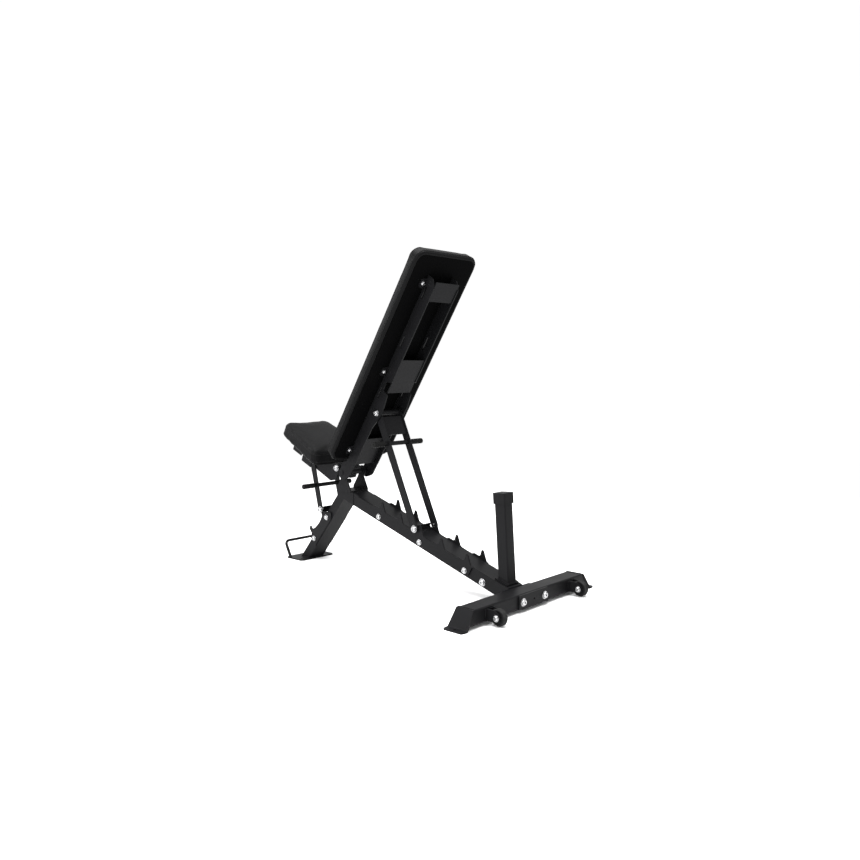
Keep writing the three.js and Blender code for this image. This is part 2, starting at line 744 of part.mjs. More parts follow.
piece(
  'hinge_axle',
  turned([
    [-axleEnd - 3, 0],
    [-axleEnd - 3, 9],
    [-axleEnd, 11],
    [-axleEnd, axleRadius],
    [axleEnd, axleRadius],
    [axleEnd, 11],
    [axleEnd + 3, 9],
    [axleEnd + 3, 0],
  ], 24).translate(0, pivotY, pivotZ),
  blackSteel(),
);
const sleeve = (half, bore, outer, sides = 20) => turned([
  [-half, bore],
  [-half, outer],
  [half, outer],
  [half, bore],
  [-half, bore],
], sides);
piece(
  'back_pivot_sleeve',
  sleeve(lugInner - sideGap, axleRadius + runningGap, axleRadius + 4).translate(0, pivotY, pivotZ),
  blackSteel(),
);

// ---- back frame -----------------------------------------------------------------------------------
// Local y runs up the back from the pivot, local z points to the pad's face.

const back = frameAt(pivotY, pivotZ, backAngle);
const padBolt = 4.2;
const propBulge = flangeDepth + 13;
const earEnd = axleRadius + 13;
const sideOutline = rounded([
  [backPadStart - 5, -gap, 4],
  [backPadStart - 20, 15, 12],
  [-earEnd, 15, 15],
  [-earEnd - 1, -18, 15],
  [8, -flangeDepth + 4, 24],
  [propPivotAlong - 62, -flangeDepth - 1, 40],
  [propPivotAlong - 6, -propBulge, 30],
  [propPivotAlong + 38, -propBulge, 20],
  [propPivotAlong + 88, -flangeDepth - 4, 8],
  [propPivotAlong + 92, -22, 8],
  [propPivotAlong + 128, -22, 8],
  [propPivotAlong + 136, -flangeDepth, 8],
  [flangeEnd - 24, -flangeDepth, 8],
  [flangeEnd, -24, 8],
  [flangeEnd, -gap],
]);
const slotAt = (station) => rectangle(
  station - slotLength / 2,
  slotDepths[0],
  station + slotLength / 2,
  slotDepths[1],
  2,
);
const sideHoles = [
  circle(0, 0, axleRadius + runningGap),
  circle(propPivotAlong, -propPivotDepth, boltM12 + runningGap),
  ...slotStations.map(slotAt),
];
// Tabs bent outwards at the pad's back, each with a bolt hole.
function sidePlateWithTabs(side) {
  const low = side > 0 ? sideInner : -sideOuter;
  const wall = sideways(sideOutline, low, low + sidePlate, sideHoles);
  const tabs = tabStations.map((station) => {
    const outline = rounded([
      [side * (sideOuter - 1), station - tabLength / 2],
      [side * (sideOuter + tabReach), station - tabLength / 2 + 4, 8],
      [side * (sideOuter + tabReach), station + tabLength / 2 - 4, 8],
      [side * (sideOuter - 1), station + tabLength / 2],
    ]);
    const bolt = circle(side * (sideOuter + tabReach / 2), station, padBolt + runningGap, 12);
    return upwards(outline, -gap - 4, -gap, [bolt]);
  });
  return join(wall, ...tabs);
}
piece('back_side_plate_left', sidePlateWithTabs(1), blackSteel(), back);
piece('back_side_plate_right', sidePlateWithTabs(-1), blackSteel(), back);

const webHalf = sideInner - gap;
const webLow = -flangeDepth + 3;
const webAt = (from, to, low = webLow) => upwards(
  rectangle(-webHalf, from, webHalf, to),
  low,
  low + webThickness,
);
piece('back_web_top', webAt(flangeEnd - 4 - topWebLength, flangeEnd - 4), blackSteel(), back);
piece('back_web_middle', webAt(propPivotAlong + 92, propPivotAlong + 232), blackSteel(), back);
piece('back_web_bottom', webAt(webStart, webStart + 122, webLow + bottomWebRecess), blackSteel(), back);

// A pad whose back holds a plywood board flush with its own back face.
const padHalf = padWidth / 2;
const backPadEnd = backPadStart + backPadLength;
function padSolid(outline, recess, side, thickness) {
  const block = cut(upwards(outline, 0, thickness), upwards(recess, -5, boardThickness + gap));
  return common(block, sideways(side, -padWidth, padWidth));
}
// The pad's side view: from start to end, with the corner at its start bevelled.
const padSide = (start, end, thickness) => {
  const step = Math.sign(end - start) * padEdge;
  return [
    new THREE.Vector2(start, -1),
    new THREE.Vector2(start, thickness - padEdge),
    new THREE.Vector2(start + step, thickness + 0.1),
    new THREE.Vector2(end, thickness + 0.1),
    new THREE.Vector2(end, -1),
  ];
};
piece(
  'back_pad',
  padSolid(
    rectangle(-padHalf, backPadStart, padHalf, backPadEnd, backPadCorner),
    rectangle(
      boardInset - padHalf - gap,
      backPadStart + boardInset - gap,
      padHalf - boardInset + gap,
      backPadEnd - boardInset + gap,
      backPadCorner - boardInset + gap,
    ),
    padSide(backPadStart, backPadEnd, padThickness),
    padThickness,
  ),
  blackVinyl(),
  back,
);
const boardHoles = tabStations.flatMap((station) => [-1, 1].map(
  (side) => circle(side * (sideOuter + tabReach / 2), station, padBolt + runningGap, 12),
));
piece(
  'back_board',
  upwards(
    rectangle(
      boardInset - padHalf,
      backPadStart + boardInset,
      padHalf - boardInset,
      backPadEnd - boardInset,
      backPadCorner - boardInset,
    ),
    0,
    boardThickness,
    boardHoles,
  ),
  plywood(),
  back,
);

// ---- back prop --------------------------------------------------------------------------------------

boltAcross('prop_pivot_bolt', propPivotAlong, -propPivotDepth, boltM12, -sideOuter, sideOuter, back);
bench.updateMatrixWorld(true);
const propTop = back.localToWorld(new THREE.Vector3(0, propPivotAlong, -propPivotDepth));
const pinAt = beamFrame.localToWorld(new THREE.Vector3(0, notchAlong[restNotch], pinLift));
const propLength = propTop.distanceTo(pinAt);
const propAngle = Math.atan2(pinAt.y - propTop.y, propTop.z - pinAt.z);
const prop = frameAt(propTop.y, propTop.z, propAngle);
const barEnd = propWidth / 2;
// A bar with round ends that hangs from its pivot down to its pin.
function barOutline(width, length) {
  const half = width / 2;
  return [
    ...arc(new THREE.Vector2(0, 0), half, 0, Math.PI),
    ...arc(new THREE.Vector2(0, -length), half, Math.PI, 2 * Math.PI),
  ];
}
platePair(
  'prop_bar',
  barOutline(propWidth, propLength),
  propInner,
  propOuter,
  [
    circle(0, 0, boltM12 + runningGap),
    circle(0, -backHandleAlong, handleRadius + gap),
    circle(0, -propLength, boltM12 + runningGap),
  ],
  blackSteel,
  prop,
);
piece(
  'prop_pivot_sleeve',
  sleeve(propInner - sideGap, boltM12 + runningGap, boltM12 + 4),
  blackSteel(),
  prop,
);
// Cross plate between the bars, on their rear side.
piece(
  'prop_web',
  sideways(rectangle(barEnd - 8, -92, barEnd - 4, -20, 1), gap - propInner, propInner - gap),
  blackSteel(),
  prop,
);
function crossHandle(name, y, z, parent) {
  const half = handleLength / 2;
  const bar = [
    [-half, 0],
    [-half, gripRadius - 2],
    [2 - half, gripRadius],
    [gripLength - half, gripRadius],
    [gripLength - half, handleRadius],
    [half - gripLength, handleRadius],
    [half - gripLength, gripRadius],
    [half - 2, gripRadius],
    [half, gripRadius - 2],
    [half, 0],
  ];
  piece(name, turned(bar, 16).translate(0, y, z), blackSteel(), parent);
}
crossHandle('prop_handle', 0, -backHandleAlong, prop);

// The pin is left open at the ladder plates: a stud in each bar and a saddle between the plates.
const studGap = 0.6;
function studs(name, z, inner, outer, parent) {
  const stud = (radius) => [
    [inner, 0],
    [inner, radius],
    [outer + gap, radius],
    [outer + gap, radius * 2],
    [outer + gap + 1.5, radius * 2],
    [outer + gap + 1.5, radius * 1.55],
    [outer + radius * 0.9, radius * 1.5],
    [outer + radius * 1.25, radius * 0.9],
    [outer + radius * 1.4, 0],
  ];
  const left = turned(stud(boltM12), 12).translate(0, 0, z);
  piece(`${name}_left`, left, zinc(), parent);
  const mirror = stud(boltM12).map(([x, radius]) => [-x, radius]).reverse();
  piece(`${name}_right`, turned(mirror, 12).translate(0, 0, z), zinc(), parent);
}
studs('prop_pin', -propLength, ladderOuter + studGap, propOuter, prop);

// A half round saddle, open towards the rear, between the two ladder plates.
function saddle(name, z, parent) {
  const half = ladderInner - studGap;
  const outer = pinRadius + 3.5;
  const inner = pinRadius;
  const centre = new THREE.Vector2(0, z);
  const section = [
    ...arc(centre, outer, Math.PI * 0.3, Math.PI * 1.4),
    ...arc(centre, inner, Math.PI * 1.4, Math.PI * 0.3),
  ];
  piece(name, sideways(section, -half, half), blackSteel(), parent);
}
saddle('prop_saddle', -propLength, prop);

// ---- seat -------------------------------------------------------------------------------------------
// Local -y runs forwards along the seat from the pivot, local z points to the pad's face.

const seat = frameAt(pivotY, pivotZ, -seatAngle);
const seatEnd = seatPadStart + seatPadLength;
const trapezoid = (inset) => rounded([
  [inset - padHalf, -seatPadStart - inset, 26 - inset * 0.6],
  [inset - seatFrontWidth / 2, -seatEnd + inset, seatCorner - inset * 0.6],
  [seatFrontWidth / 2 - inset, -seatEnd + inset, seatCorner - inset * 0.6],
  [padHalf - inset, -seatPadStart - inset, 26 - inset * 0.6],
]);
const seatSide = padSide(-seatPadStart, -seatEnd, seatPadThickness);
piece(
  'seat_pad',
  padSolid(trapezoid(0), trapezoid(boardInset - gap), seatSide, seatPadThickness),
  blackVinyl(),
  seat,
);
piece('seat_board', upwards(trapezoid(boardInset), 0, boardThickness), plywood(), seat);

const seatDepth = 68;
const seatSideOutline = rounded([
  [-seatBoltAlong + 17, -seatBoltDepth + 17, 14],
  [-seatBoltAlong - 9, -seatBoltDepth + 17, 9],
  [-seatPadStart + 4, -gap, 3],
  [-seatEnd + 62, -gap],
  [-seatEnd + 62, -14, 6],
  [-seatPropAlong - 22, -seatDepth + 4, 20],
  [-seatPlateStart + 20, -seatDepth, 20],
  [-seatBoltAlong + 13, -seatDepth + 18, 8],
  [-seatBoltAlong + 17, -20, 10],
]);
const seatBoltHole = () => circle(-seatBoltAlong, -seatBoltDepth, boltM12 + runningGap);
const seatPropHole = () => circle(-seatPropAlong, -seatPropDepth, boltM12 + runningGap);
const lugOutline = rounded([
  [16, -16, 15],
  [16, 16, 15],
  [-seatBoltAlong - 14, 16 - seatBoltDepth, 12],
  [-seatBoltAlong - 14, -12 - seatBoltDepth, 12],
]);
const lugHoles = () => [circle(0, 0, axleRadius + runningGap), seatBoltHole()];
// Brackets under the pad, each with its outer edge turned down.
const seatBrackets = [[220, 56, 18], [139, 60, 26]]; // station, length, depth of the turned edge
const bracketEdge = 15; // inside the pad's edge
function seatBracket(side, [station, length, depth]) {
  const share = (station - seatPadStart) / seatPadLength;
  const reach = THREE.MathUtils.lerp(padHalf, seatFrontWidth / 2, share) - bracketEdge;
  const from = -station - length / 2;
  const to = -station + length / 2;
  const section = rounded([
    [-gap, hingeOuter - 1],
    [-gap, reach, 5],
    [-depth, reach],
    [-depth, reach - 4],
    [-gap - 4, reach - 4, 1],
    [-gap - 4, hingeOuter - 1],
  ]).map((point) => new THREE.Vector2(point.x, side * point.y));
  return endways(section, from, to);
}
function seatSidePlate(side) {
  const span = (near, far) => (side > 0 ? [near, far] : [-far, -near]);
  const wall = sideways(seatSideOutline, ...span(hingeInner, hingeOuter), [seatBoltHole(), seatPropHole()]);
  const lug = sideways(lugOutline, ...span(lugInner, lugOuter), lugHoles());
  const ring = circle(-seatBoltAlong, -seatBoltDepth, 11);
  const spacer = sideways(ring, ...span(lugOuter - 1, hingeInner + 1), [seatBoltHole()]);
  return join(wall, lug, spacer, ...seatBrackets.map((bracket) => seatBracket(side, bracket)));
}
piece('seat_side_plate_left', seatSidePlate(1), blackSteel(), seat);
piece('seat_side_plate_right', seatSidePlate(-1), blackSteel(), seat);
boltAcross('seat_hinge_bolt', -seatBoltAlong, -seatBoltDepth, boltM12, -hingeOuter, hingeOuter, seat);

// ---- seat prop ----------------------------------------------------------------------------------------

const seatPropInner = hingeOuter + sideGap;
const seatPropOuter = seatPropInner + seatPropPlate;
boltAcross('seat_prop_pivot_bolt', -seatPropAlong, -seatPropDepth, boltM12, -seatPropOuter, seatPropOuter, seat);
bench.updateMatrixWorld(true);
const seatPropTop = seat.localToWorld(new THREE.Vector3(0, -seatPropAlong, -seatPropDepth));
const seatPinAt = legFrame.localToWorld(new THREE.Vector3(0, seatPinUp, seatPinOut));
const seatPropLength = seatPropTop.distanceTo(seatPinAt);
const seatPropAngle = Math.atan2(seatPinAt.y - seatPropTop.y, seatPropTop.z - seatPinAt.z);
const seatProp = frameAt(seatPropTop.y, seatPropTop.z, seatPropAngle);
platePair(
  'seat_prop_bar',
  barOutline(seatPropWidth, seatPropLength),
  seatPropInner,
  seatPropOuter,
  [
    circle(0, 0, boltM12 + runningGap),
    circle(0, -seatHandleAlong, handleRadius + gap),
    circle(0, -seatPropLength, boltM12 + runningGap),
  ],
  blackSteel,
  seatProp,
);
crossHandle('seat_prop_handle', 0, -seatHandleAlong, seatProp);
studs('seat_prop_pin', -seatPropLength, ladderOuter + studGap, seatPropOuter, seatProp);
saddle('seat_prop_saddle', -seatPropLength, seatProp);

// ---- origin: on the ground, under the centre of the bench -----------------------------------------------

const model = new THREE.Group();
model.add(bench);
bench.updateMatrixWorld(true);
const box = new THREE.Box3().setFromObject(bench, true);
bench.position.set(-(box.min.x + box.max.x) / 2, -(box.min.y + box.max.y) / 2, -box.min.z);

export default model;
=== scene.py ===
import json
import math

import bmesh
import bpy
from mathutils import Matrix, Vector, noise
from mathutils.bvhtree import BVHTree


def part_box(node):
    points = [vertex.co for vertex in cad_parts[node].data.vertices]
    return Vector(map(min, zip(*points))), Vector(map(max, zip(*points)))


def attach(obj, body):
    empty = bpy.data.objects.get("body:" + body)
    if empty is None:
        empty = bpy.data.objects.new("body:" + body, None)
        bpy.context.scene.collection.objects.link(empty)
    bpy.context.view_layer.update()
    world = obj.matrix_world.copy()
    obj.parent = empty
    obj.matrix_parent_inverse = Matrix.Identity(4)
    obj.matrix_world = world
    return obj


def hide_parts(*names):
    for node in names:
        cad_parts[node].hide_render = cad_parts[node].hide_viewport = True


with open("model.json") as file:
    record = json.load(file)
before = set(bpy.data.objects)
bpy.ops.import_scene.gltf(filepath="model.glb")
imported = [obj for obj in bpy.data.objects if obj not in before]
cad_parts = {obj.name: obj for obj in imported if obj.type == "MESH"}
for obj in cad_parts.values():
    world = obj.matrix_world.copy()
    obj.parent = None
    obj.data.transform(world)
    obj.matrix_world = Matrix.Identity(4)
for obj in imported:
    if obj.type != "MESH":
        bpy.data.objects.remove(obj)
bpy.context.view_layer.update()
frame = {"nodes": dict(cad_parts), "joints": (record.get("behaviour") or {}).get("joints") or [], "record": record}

joints = {joint["name"]: joint for joint in frame["joints"]}
body_of_node = {n: body for body, nodes in frame["record"]["behaviour"]["bodies"].items() for n in nodes}

# ---- sizes and places, in metres ---------------------------------------------------------------

MM = 0.001
BACK_ANGLE = math.radians(55.8)
SEAT_ANGLE = math.radians(23.5)
BEAM_SLOPE = math.radians(17.8)
PIVOT = Vector(joints["back_raise"]["pos_m"])

PAD_VOXEL = 6 * MM
PAD_SHRINK = 3 * MM  # the foam starts this much smaller and swells
PAD_ROUND = 16 * MM  # rounding of a pad's front edge before it swells
PAD_CAP = 9 * MM  # a limit that a point of the cover approaches and never passes
PAD_DRAW = 0.15  # the share of the cover's sideways draw that is kept
WELT_RADIUS = 1.5 * MM
STITCH_STEP = 5 * MM

HEAD_SHARE = 1.9  # a CAD bolt's flange radius, in shank radii
PIN_SHARE = 2.0
BOLT_SIDES = 48
TURNED_SIDES = 64
GRIP_LENGTH = 52 * MM

FLOOR_HALF = 3.0
CAMERA_PLACE = Vector((2.0009, 2.0656, 0.7336))
CAMERA_AIM = Vector((0.0, 0.1704, 0.7336))  # the heading only
CAMERA_YAW = 0.0095
CAMERA_PITCH = -0.0646
CAMERA_ROLL = -0.0139
CAMERA_LENS = 33.07

back_space = Matrix.Translation(PIVOT) @ Matrix.Rotation(BACK_ANGLE, 4, "X")
seat_space = Matrix.Translation(PIVOT) @ Matrix.Rotation(-SEAT_ANGLE, 4, "X")
beam_up = Vector((0, math.sin(BEAM_SLOPE), math.cos(BEAM_SLOPE)))


def local_box(node, space):
    """The corners of a CAD node in a turned space."""
    inverse = space.inverted()
    points = [inverse @ v.co for v in frame["nodes"][node].data.vertices]
    low = Vector(min(p[i] for p in points) for i in range(3))
    high = Vector(max(p[i] for p in points) for i in range(3))
    return low, high


# ---- materials ---------------------------------------------------------------------------------


class Surface:
    """A node material with a Principled shader and object coordinates."""

    def __init__(self, name, roughness, metallic=0.0, **sockets):
        self.material = bpy.data.materials.new(name)
        self.material.use_nodes = True
        self.tree = self.material.node_tree
        self.shader = self.tree.nodes["Principled BSDF"]
        self.shader.inputs["Roughness"].default_value = roughness
        self.shader.inputs["Metallic"].default_value = metallic
        for socket, value in sockets.items():
            self.shader.inputs[socket.replace("_", " ")].default_value = value
        self.place = self.add("ShaderNodeTexCoord").outputs["Object"]

    def add(self, kind, inputs=None, **settings):
        node = self.tree.nodes.new(kind)
        for key, value in settings.items():
            setattr(node, key, value)
        for key, value in (inputs or {}).items():
            if hasattr(value, "links"):
                self.tree.links.new(value, node.inputs[key])
            else:
                node.inputs[key].default_value = value
        return node

    def noise(self, scale, detail=3.0, roughness=0.5):
        inputs = {"Vector": self.place, "Scale": scale, "Detail": detail, "Roughness": roughness}
        return self.add("ShaderNodeTexNoise", inputs).outputs["Fac"]

    def cells(self, scale, feature="DISTANCE_TO_EDGE"):
        inputs = {"Vector": self.place, "Scale": scale}
        return self.add("ShaderNodeTexVoronoi", inputs, feature=feature).outputs["Distance"]

    def ramp(self, value, low, high, start, end):
        node = self.add("ShaderNodeMapRange", {0: value, 1: low, 2: high, 3: start, 4: end})
        return node.outputs[0]

    def blend(self, share, first, second):
        node = self.add("ShaderNodeMix", {0: share, 6: first, 7: second}, data_type="RGBA")
        return node.outputs[2]

    def sum(self, first, second, weight):
        node = self.add("ShaderNodeMath", {0: second, 1: weight, 2: first}, operation="MULTIPLY_ADD")
        return node.outputs[0]

    def colour(self, value):
        self.tree.links.new(value, self.shader.inputs["Base Color"])

    def gloss(self, value):
        self.tree.links.new(value, self.shader.inputs["Roughness"])

    def bump(self, height, distance, strength=1.0):
        inputs = {"Height": height, "Distance": distance, "Strength": strength}
        node = self.add("ShaderNodeBump", inputs)
        self.tree.links.new(node.outputs[0], self.shader.inputs["Normal"])


def tone(value, blue=1.0):
    return (value, value, value * blue, 1.0)


def powder_coat():
    """Satin black powder coat: orange peel and fine speckle."""
    surface = Surface("powder_coat", 0.42, Specular_IOR_Level=0.06)
    patches = surface.noise(9.0)
    speckle = surface.noise(1400.0, 1.0)
    surface.colour(surface.blend(patches, tone(0.004, 1.1), tone(0.007, 1.1)))
    surface.gloss(surface.ramp(surface.sum(patches, speckle, 0.5), 0.4, 1.1, 0.36, 0.5))
    peel = surface.noise(420.0, 2.0)
    surface.bump(surface.sum(peel, speckle, 0.4), 0.06 * MM, 0.6)
    return surface.material


def vinyl():
    """Black vinyl with a leather grain and a soft, uneven sheen."""
    surface = Surface("vinyl", 0.45, Specular_IOR_Level=0.04)
    broad = surface.noise(5.0, 4.0)
    grain = surface.cells(620.0)
    pores = surface.noise(1700.0, 2.0)
    surface.colour(surface.blend(broad, tone(0.003, 1.05), tone(0.005, 1.05)))
    surface.gloss(surface.ramp(surface.sum(broad, pores, 0.3), 0.4, 0.9, 0.38, 0.52))
    fold = surface.noise(34.0, 2.0)
    height = surface.sum(surface.ramp(grain, 0.0, 0.25, 0.0, 1.0), pores, 0.35)
    surface.bump(surface.sum(height, fold, 1.2), 0.12 * MM, 0.55)
    return surface.material


def backing_painted_shade():
    """Black non-woven cloth over the board behind a pad; its colour is set darker than the vinyl's as painted
    shade for the shaded back of the pad.
    """
    surface = Surface("backing_painted_shade", 0.7, Specular_IOR_Level=0.01)
    fibres = surface.noise(900.0, 5.0, 0.7)
    dots = surface.cells(520.0, "F1")
    # painted shade: these base colours are far darker than the vinyl's so that the back of the pad reads as lying
    # in shade
    surface.colour(surface.blend(fibres, tone(0.0012, 1.05), tone(0.0022, 1.05)))
    surface.bump(surface.sum(fibres, dots, 0.6), 0.08 * MM, 0.5)
    return surface.material


def zinc():
    """Bright zinc plate with faint turning marks and clouding."""
    surface = Surface("zinc", 0.24, 1.0)
    cloud = surface.noise(160.0, 3.0)
    fine = surface.noise(1500.0, 2.0)
    surface.colour(surface.blend(cloud, tone(0.34, 1.02), tone(0.5, 1.01)))
    surface.gloss(surface.ramp(surface.sum(cloud, fine, 0.4), 0.4, 1.0, 0.18, 0.34))
    surface.bump(fine, 0.03 * MM, 0.4)
    return surface.material


def plastic():
    """Fine-textured black moulded plastic."""
    surface = Surface("moulded_plastic", 0.5, Specular_IOR_Level=0.06)
    texture = surface.noise(1100.0, 3.0)
    broad = surface.noise(30.0)
    surface.colour(surface.blend(broad, tone(0.0045, 1.06), tone(0.007, 1.06)))
    surface.gloss(surface.ramp(broad, 0.3, 0.7, 0.44, 0.56))
    surface.bump(texture, 0.08 * MM, 0.6)
    return surface.material


def rubber(name, low, high, roughness):
    """Matt moulded rubber with a little dust."""
    surface = Surface(name, roughness, Specular_IOR_Level=0.08)
    dust = surface.noise(70.0, 5.0, 0.6)
    fine = surface.noise(800.0, 2.0)
    surface.colour(surface.blend(surface.ramp(dust, 0.4, 0.75, 0.0, 1.0), tone(low), tone(high)))
    surface.gloss(surface.ramp(dust, 0.3, 0.8, roughness - 0.08, roughness + 0.08))
    surface.bump(fine, 0.1 * MM, 0.5)
    return surface.material


def thread():
    """Black sewing thread."""
    surface = Surface("thread", 0.7, Specular_IOR_Level=0.2)
    twist = surface.noise(2500.0, 1.0)
    surface.colour(surface.blend(twist, tone(0.008), tone(0.02)))
    surface.bump(twist, 0.05 * MM, 0.8)
    return surface.material


POWDER = powder_coat()
VINYL = vinyl()
BACKING_PAINTED_SHADE = backing_painted_shade()
ZINC = zinc()
PLASTIC = plastic()
TREAD = rubber("tread_rubber", 0.012, 0.028, 0.72)
GRIP = rubber("grip_rubber", 0.004, 0.008, 0.62)
THREAD = thread()


# ---- helpers for pieces ------------------------------------------------------------------------


def piece(name, mesh, material, body, space=None):
    """A new object from a mesh, riding on a body, with its finish."""
    obj = bpy.data.objects.new(name, mesh)
    bpy.context.scene.collection.objects.link(obj)
    if space is not None:
        mesh.transform(space)
    mesh.materials.clear()
    mesh.materials.append(material)
    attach(obj, body)
    return obj


def smooth(mesh, angle=35.0):
    mesh.polygons.foreach_set("use_smooth", [True] * len(mesh.polygons))
    mesh.set_sharp_from_angle(angle=math.radians(angle))


def round_edges(obj, width, segments=2, angle=34.0):
    """Fine rounding of the edges, over faces merged into flat ones."""
    flat = obj.modifiers.new("flat_faces", "DECIMATE")
    flat.decimate_type = "DISSOLVE"
    flat.angle_limit = math.radians(0.4)
    bevel = obj.modifiers.new("rounded_edges", "BEVEL")
    bevel.width = width
    bevel.segments = segments
    bevel.limit_method = "ANGLE"
    bevel.angle_limit = math.radians(angle)
    bevel.harden_normals = True
    smooth(obj.data, angle)


def mesh_of(name, points, faces, angle=35.0):
    mesh = bpy.data.meshes.new(name)
    mesh.from_pydata([tuple(p) for p in points], [], faces)
    mesh.validate()
    mesh.update()
    smooth(mesh, angle)
    return mesh


def hexagon(radius, angle):
    """The radius of a hexagon at an angle, for that radius across its flats."""
    turn = (angle + math.pi / 6) % (math.pi / 3) - math.pi / 6
    return radius / math.cos(turn)


def turned(name, rings, sides=TURNED_SIDES, angle=35.0):
    """A closed solid about the local z axis from (height, radius, is hexagonal) rings."""
    points, faces = [], []
    for height, radius, six in rings:
        for i in range(sides):
            a = 2 * math.pi * i / sides
            r = hexagon(radius, a) if six else radius
            points.append((r * math.cos(a), r * math.sin(a), height))
    for ring in range(len(rings) - 1):
        a, b = ring * sides, (ring + 1) * sides
        faces += [(a + i, a + (i + 1) % sides, b + (i + 1) % sides, b + i) for i in range(sides)]
    faces.append(tuple(range(sides - 1, -1, -1)))
    last = (len(rings) - 1) * sides
    faces.append(tuple(last + i for i in range(sides)))
    return mesh_of(name, points, faces, angle)


def along(axis, centre):
    """A space whose z axis is the bench's x, y or -x axis."""
    z = {"x": Vector((1, 0, 0)), "y": Vector((0, 1, 0)), "-x": Vector((-1, 0, 0))}[axis]
    x = Vector((0, 0, 1))
    return Matrix.Translation(centre) @ Matrix((x, z.cross(x), z)).transposed().to_4x4()


def resample(points, step, closed=True):
    """Points at equal steps along a line."""
    ends = points[1:] + points[:1] if closed else points[1:]
    lengths = [(b - a).length for a, b in zip(points, ends)]
    total = sum(lengths)
    count = max(3, round(total / step))
    result = []
    index, start = 0, 0.0
    for i in range(count if closed else count + 1):
        target = total * i / count
        while index < len(lengths) - 1 and start + lengths[index] < target:
            start += lengths[index]
            index += 1
        share = (target - start) / lengths[index]
        result.append(points[index].lerp(ends[index], min(1.0, share)))
    return result


def tube(name, points, radius_at, sides=8, closed=True):
    """A tube along a line, with a radius for each point."""
    count = len(points)
    verts, faces = [], []
    up = Vector((0.13, 0.21, 0.97))
    for i, point in enumerate(points):
        after = points[(i + 1) % count] if closed or i < count - 1 else point
        before = points[i - 1] if closed or i > 0 else point
        direction = (after - before).normalized()
        u = direction.cross(up).normalized()
        v = direction.cross(u)
        for k in range(sides):
            a = 2 * math.pi * k / sides
            verts.append(point + (u * math.cos(a) + v * math.sin(a)) * radius_at(i))
    for i in range(count if closed else count - 1):
        a, b = i * sides, ((i + 1) % count) * sides
        faces += [(a + k, a + (k + 1) % sides, b + (k + 1) % sides, b + k) for k in range(sides)]
    if not closed:
        faces.append(tuple(range(sides - 1, -1, -1)))
        faces.append(tuple((count - 1) * sides + k for k in range(sides)))
    return mesh_of(name, verts, faces, 80.0)


# ---- painted steel and the cap -------------------------------------------------------------------

EDGE_WIDTH = 0.9 * MM
WIDE_EDGE = {"front_leg": 2.5, "main_beam": 2.5, "post_tube": 1.2, "rear_cross_tube": 1.0, "post_cap": 2.4}
ROUND_NODES = ("lift_handle", "hinge_axle", "back_pivot_sleeve", "prop_pivot_sleeve", "prop_saddle",
               "seat_prop_saddle")


def dress_cad_nodes():
    for node, obj in frame["nodes"].items():
        cap = node == "post_cap"
        obj.data.materials.clear()
        # the boards take the backing whose very dark colour is painted shade
        obj.data.materials.append(PLASTIC if cap else BACKING_PAINTED_SHADE if node.endswith("board") else POWDER)
        if node in ROUND_NODES:
            smooth(obj.data, 50.0)
        else:
            width = WIDE_EDGE[node] * MM if node in WIDE_EDGE else EDGE_WIDTH
            round_edges(obj, width, 3 if node in WIDE_EDGE else 2)


# ---- bolts ---------------------------------------------------------------------------------------


def head_rings(face, r):
    """A washer and a domed head with a hexagonal socket, up from a face."""
    washer = 0.22 * r
    top = face + washer
    dome = [(top + 0.25 * r + 0.85 * r * math.sin(a), 1.0 * r + 0.72 * r * math.cos(a))
            for a in (math.radians(15 * k) for k in range(7))]
    rings = [(face, 2.1 * r), (face + washer * 0.8, 2.1 * r), (top, 2.04 * r), (top, 1.72 * r)]
    rings += [(z, radius) for z, radius in dome]
    rings += [(dome[-1][0] - 0.02 * r, 0.86 * r)]
    rings = [(z, radius, False) for z, radius in rings]
    floor = dome[-1][0] - 0.62 * r
    socket = [(dome[-1][0] - 0.06 * r, 0.6 * r, True), (floor, 0.58 * r, True), (floor - 0.1 * r, 0.1 * r, False)]
    return rings + socket


def nut_rings(face, r):
    """A washer, a lock nut and a threaded end, down to a face. Given from the tip up."""
    washer = 0.22 * r
    low = face - washer
    nut = 1.25 * r
    tip = low - nut - 0.55 * r
    thread_rings = [(tip + 0.12 * r + 0.09 * r * k, (0.99 if k % 2 else 0.88) * r, False) for k in range(5)]
    return [
        (tip, 0.1 * r, False),
        (tip, 0.8 * r, False),
        *thread_rings,
        (low - nut, 1.05 * r, False),
        (low - nut, 1.35 * r, False),
        (low - nut + 0.2 * r, 1.5 * r, False),
        (low - nut + 0.3 * r, 1.58 * r, True),
        (low - 0.04 * r, 1.6 * r, True),
        (low, 1.56 * r, True),
        (low, 2.04 * r, False),
        (low + washer * 0.2, 2.1 * r, False),
        (face, 2.1 * r, False),
        (face, r, False),
    ]


def through_bolt(node, axis, radius):
    """A bolt with its nut, in the place of a CAD bolt, head at the axis's far end."""
    low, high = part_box(node)
    centre = (low + high) / 2
    i = "xyz".index(axis)
    low_face = low[i] + 1.1 * radius + 2 * MM - centre[i]
    high_face = high[i] - 1.1 * radius - 1.4 * MM - centre[i]
    rings = nut_rings(low_face, radius) + [(high_face, radius, False)] + head_rings(high_face, radius)
    mesh = turned(node + "_zinc", rings, BOLT_SIDES)
    obj = piece("zinc_" + node, mesh, ZINC, body_of_node[node], along(axis, centre))
    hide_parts(node)


def pin_end(node, radius):
    """One end of a prop's pin, with its head outside the bar."""
    low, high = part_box(node)
    left = high.x > 0
    inner, outer = (low.x, high.x) if left else (-high.x, -low.x)
    face = outer - 1.4 * radius
    centre = (low + high) / 2
    centre.x = 0
    rings = [(inner, 0.1 * radius, False), (inner, 0.9 * radius, False), (inner + 0.8 * MM, radius, False),
             (face, radius, False)] + head_rings(face, radius)
    mesh = turned(node + "_zinc", rings, BOLT_SIDES)
    space = along("x" if left else "-x", centre)
    obj = piece("zinc_" + node, mesh, ZINC, body_of_node[node], space)
    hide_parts(node)


